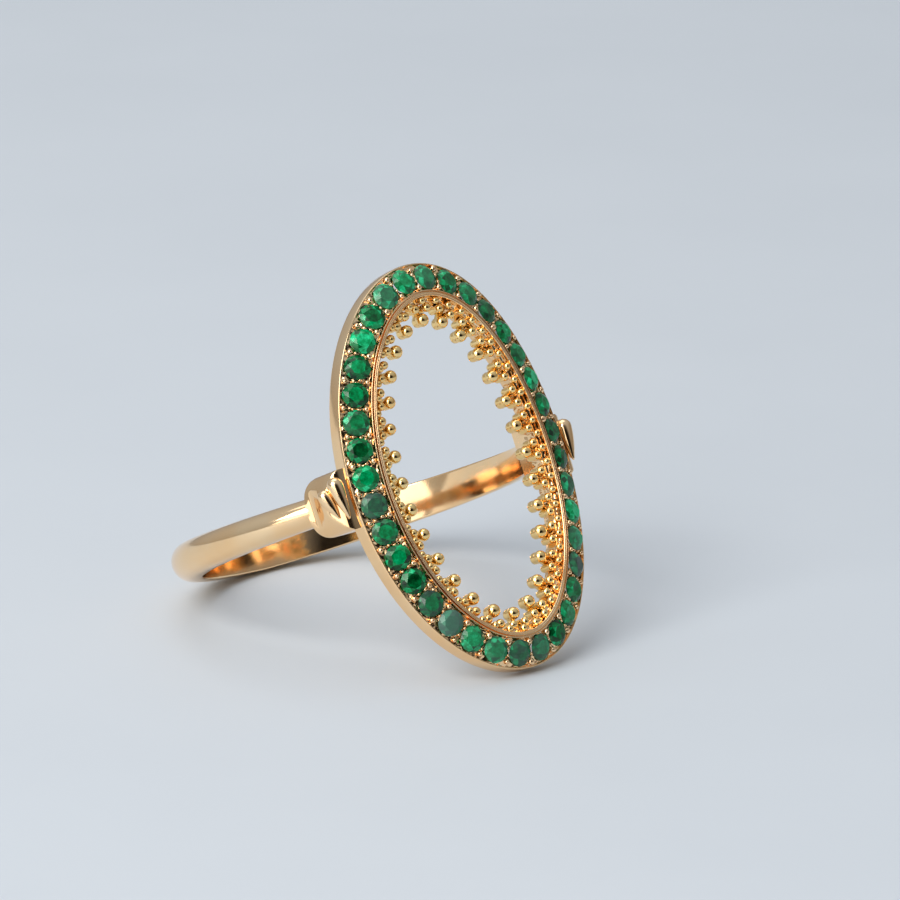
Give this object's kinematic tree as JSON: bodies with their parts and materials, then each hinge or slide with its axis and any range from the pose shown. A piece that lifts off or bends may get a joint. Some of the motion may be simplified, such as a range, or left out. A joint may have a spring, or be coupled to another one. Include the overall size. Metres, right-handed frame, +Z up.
{
  "type": "cocktail ring",
  "caption": "Open oval hoop pavé-set with a line of round green stones, granulated inside, on a plain half-round finger shank with reeded shoulders.",
  "frame": {"origin": "bottom centre of the ring as it rests on a surface, on the hoop's lower end and the back of the shank", "axes": "+Z up; the oval hoop's face looks towards -Y and a little up; the shank reaches out towards +Y; X runs across the finger, the ring is symmetric about X = 0"},
  "size_m": [0.02, 0.0225, 0.0191],
  "materials": {
    "gold": "polished yellow gold, lightly worn",
    "gold_granules": "bright yellow gold grains, soft polish",
    "emerald": "faceted green gemstone, polished"
  },
  "bodies": {
    "root": {"shank": "gold", "right_shoulder": "gold", "left_shoulder": "gold", "right_near_reed": "gold", "right_far_reed": "gold", "left_near_reed": "gold", "left_far_reed": "gold", "bezel_hoop": "gold", "inner_collar": "gold", "setting_beads": "gold_granules", "collar_granules": "gold_granules", "rim_granules": "gold_granules", "tip_granules": "gold_granules", "emerald_01": "emerald", "emerald_02": "emerald", "emerald_03": "emerald", "emerald_04": "emerald", "emerald_05": "emerald", "emerald_06": "emerald", "emerald_07": "emerald", "emerald_08": "emerald", "emerald_09": "emerald", "emerald_10": "emerald", "emerald_11": "emerald", "emerald_12": "emerald", "emerald_13": "emerald", "emerald_14": "emerald", "emerald_15": "emerald", "emerald_16": "emerald", "emerald_17": "emerald", "emerald_18": "emerald", "emerald_19": "emerald", "emerald_20": "emerald", "emerald_21": "emerald", "emerald_22": "emerald", "emerald_23": "emerald", "emerald_24": "emerald", "emerald_25": "emerald", "emerald_26": "emerald", "emerald_27": "emerald", "emerald_28": "emerald", "emerald_29": "emerald", "emerald_30": "emerald", "emerald_31": "emerald", "emerald_32": "emerald", "emerald_33": "emerald", "emerald_34": "emerald", "emerald_35": "emerald", "emerald_36": "emerald"}
  },
  "joints": []
}
